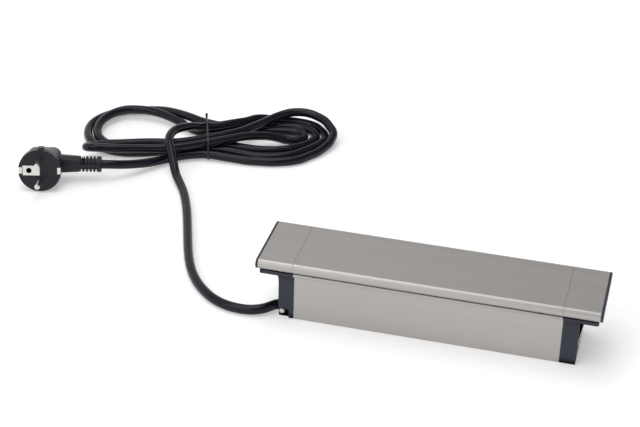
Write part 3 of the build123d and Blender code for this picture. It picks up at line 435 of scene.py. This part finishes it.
def plain_metal(name, colour, roughness):
    """Smooth metal with a fine grain."""
    made, tree, shader = new_material(name)
    shader.inputs["Metallic"].default_value = 1.0
    fine = stretched_noise(tree, UNSTRETCHED, METAL_GRAIN, 4.0, 0.6)
    tone = ramp(tree, fine.outputs["Fac"], toned(colour, 0.9), (*colour, 1.0))
    tree.links.new(tone.outputs["Color"], shader.inputs["Base Color"])
    rough = ramp(tree, fine.outputs["Fac"], grey(roughness * 0.85), grey(roughness * 1.2))
    tree.links.new(rough.outputs["Color"], shader.inputs["Roughness"])
    edge_and_bump(tree, shader, fine.outputs["Fac"], METAL_RELIEF, METAL_DEPTH, SHARP_EDGE)
    return made


ALUMINIUM = ((0.455, 0.434, 0.418), 0.43, 0.06)
METALS = {
    "brass": ((0.78, 0.60, 0.32), 0.3),
    "nickel_strip": ((0.70, 0.69, 0.66), 0.25),
    "steel": ((0.62, 0.61, 0.60), 0.28),
}
PLASTICS = {
    "socket_plastic": ((0.024, 0.024, 0.027), 0.4),
    "carrier_plastic": ((0.68, 0.67, 0.63), 0.5),
    "rubber": ((0.02, 0.02, 0.02), 0.75),
    "clamp_plastic": ((0.05, 0.05, 0.055), 0.5),
    "tie_wire": ((0.015, 0.015, 0.016), 0.35),
    "live_insulation": ((0.16, 0.07, 0.03), 0.4),
    "neutral_insulation": ((0.03, 0.11, 0.45), 0.4),
    "earth_insulation": ((0.25, 0.42, 0.05), 0.4),
}
HOUSING_BLACK = (0.018, 0.021, 0.036)
SHEATH_BLACK = (0.004, 0.005, 0.011)
PLUG_BLACK = (0.007, 0.007, 0.014)
looks = {
    "brushed_aluminium": brushed_metal("brushed_aluminium", *ALUMINIUM),
    # The housing's pocket, recesses and gaps get painted shade
    "housing_plastic": moulded_plastic("housing_plastic", HOUSING_BLACK, 0.5, gloss=0.45, painted_shade_reach=0.007),
    "cord_sheath": moulded_plastic("cord_sheath", SHEATH_BLACK, 0.17, 700.0, 0.04, gloss=0.27),
    "plug_plastic": moulded_plastic("plug_plastic", PLUG_BLACK, 0.38, 1800.0, 0.12, gloss=0.33),
}
for name, (colour, roughness) in METALS.items():
    looks[name] = plain_metal(name, colour, roughness)
for name, (colour, roughness) in PLASTICS.items():
    looks[name] = moulded_plastic(name, colour, roughness)
for part in frame["record"]["subparts"]:
    for place in nodes[part["node"]].material_slots:
        place.material = looks[part["material_slot"]]

# The channel's pressed flange has softer edges than the sawn and brushed pieces
soft_edged = brushed_metal("brushed_aluminium_flange", *ALUMINIUM, FLANGE_EDGE)
for place in nodes["channel"].material_slots:
    place.material = soft_edged

lead_curve.materials.append(looks["cord_sheath"])
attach(mains_lead, "block")
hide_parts("cord_lead", "cord_hank", "cord_tail")

# Floor, world and lamps
FLOOR_GREY = 0.9
FLOOR_GLOW = 0.32
FLOOR_HALF = 1.5
SKY_LEFT = (-0.45, 0.80)
SKY_RIGHT = (0.35, 0.25)
SKY_WHITE_BELOW = 0.15
SKY_TONED_ABOVE = 0.5


def white_backdrop(tree, shader_output, strength):
    """Add a little light of its own that the camera, metal and glass see and that lights nothing."""
    rays = add_node(tree, "ShaderNodeLightPath")
    glow = add_node(tree, "ShaderNodeEmission")
    first = add_node(tree, "ShaderNodeMath", operation="MAXIMUM")
    second = add_node(tree, "ShaderNodeMath", operation="MAXIMUM")
    scale = add_node(tree, "ShaderNodeMath", operation="MULTIPLY")
    scale.inputs[1].default_value = strength
    total = add_node(tree, "ShaderNodeAddShader")
    tree.links.new(rays.outputs["Is Camera Ray"], first.inputs[0])
    tree.links.new(rays.outputs["Is Glossy Ray"], first.inputs[1])
    tree.links.new(first.outputs["Value"], second.inputs[0])
    tree.links.new(rays.outputs["Is Transmission Ray"], second.inputs[1])
    tree.links.new(second.outputs["Value"], scale.inputs[0])
    tree.links.new(scale.outputs["Value"], glow.inputs["Strength"])
    tree.links.new(shader_output, total.inputs[0])
    tree.links.new(glow.outputs["Emission"], total.inputs[1])
    return total.outputs["Shader"]


floor_material = bpy.data.materials.new("floor")
floor_material.use_nodes = True
floor_tree = floor_material.node_tree
floor_tree.nodes.clear()
floor_out = add_node(floor_tree, "ShaderNodeOutputMaterial")
floor_diffuse = add_node(floor_tree, "ShaderNodeBsdfDiffuse")
floor_diffuse.inputs["Color"].default_value = grey(FLOOR_GREY)
floor_shader = white_backdrop(floor_tree, floor_diffuse.outputs["BSDF"], FLOOR_GLOW)
floor_tree.links.new(floor_shader, floor_out.inputs["Surface"])
floor_mesh = bpy.data.meshes.new("floor")
floor_corners = [(x * FLOOR_HALF, y * FLOOR_HALF, 0.0) for x, y in ((-1, -1), (1, -1), (1, 1), (-1, 1))]
floor_mesh.from_pydata(floor_corners, [], [(0, 1, 2, 3)])
floor_mesh.materials.append(floor_material)
floor = bpy.data.objects.new("floor", floor_mesh)
bpy.context.scene.collection.objects.link(floor)

world = bpy.data.worlds.new("studio")
bpy.context.scene.world = world
world.use_nodes = True
sky = world.node_tree
sky.nodes.clear()
sky_out = add_node(sky, "ShaderNodeOutputWorld")
background = add_node(sky, "ShaderNodeBackground")
sky_place = add_node(sky, "ShaderNodeTexCoord")
sky_axes = add_node(sky, "ShaderNodeSeparateXYZ")
sky_side = add_node(sky, "ShaderNodeMapRange")
sky_side.inputs["From Min"].default_value = SKY_LEFT[0]
sky_side.inputs["From Max"].default_value = SKY_RIGHT[0]
sky_side.inputs["To Min"].default_value = SKY_LEFT[1]
sky_side.inputs["To Max"].default_value = SKY_RIGHT[1]
sky_height = add_node(sky, "ShaderNodeMapRange")
sky_height.inputs["From Min"].default_value = SKY_WHITE_BELOW
sky_height.inputs["From Max"].default_value = SKY_TONED_ABOVE
sky_tone = add_node(sky, "ShaderNodeMixRGB")
sky_tone.inputs["Color1"].default_value = grey(1.0)
sky.links.new(sky_place.outputs["Generated"], sky_axes.inputs["Vector"])
sky.links.new(sky_axes.outputs["X"], sky_side.inputs["Value"])
sky.links.new(sky_axes.outputs["Z"], sky_height.inputs["Value"])
sky.links.new(sky_height.outputs["Result"], sky_tone.inputs["Fac"])
sky.links.new(sky_side.outputs["Result"], sky_tone.inputs["Color2"])
sky.links.new(sky_tone.outputs["Color"], background.inputs["Color"])
sky.links.new(background.outputs["Background"], sky_out.inputs["Surface"])


def soft_lamp(name, place, target, width, height, power, colour=(1.0, 1.0, 1.0)):
    """A rectangular area lamp at a place, turned to a target."""
    data = bpy.data.lights.new(name, "AREA")
    data.color = colour
    data.shape = "RECTANGLE"
    data.size = width
    data.size_y = height
    data.energy = power
    made = bpy.data.objects.new(name, data)
    bpy.context.scene.collection.objects.link(made)
    made.location = place
    made.rotation_euler = (Vector(target) - Vector(place)).to_track_quat("-Z", "Y").to_euler()


soft_lamp("key", (-0.3, 0.15, 1.8), (-0.05, 0.1, 0.0), 1.6, 1.0, 9.5)
soft_lamp("fill", (-0.75, -1.2, 1.1), (0.0, 0.1, 0.0), 1.4, 1.0, 5.0, (0.97, 0.985, 1.0))

bpy.context.scene.view_settings.view_transform = "Standard"
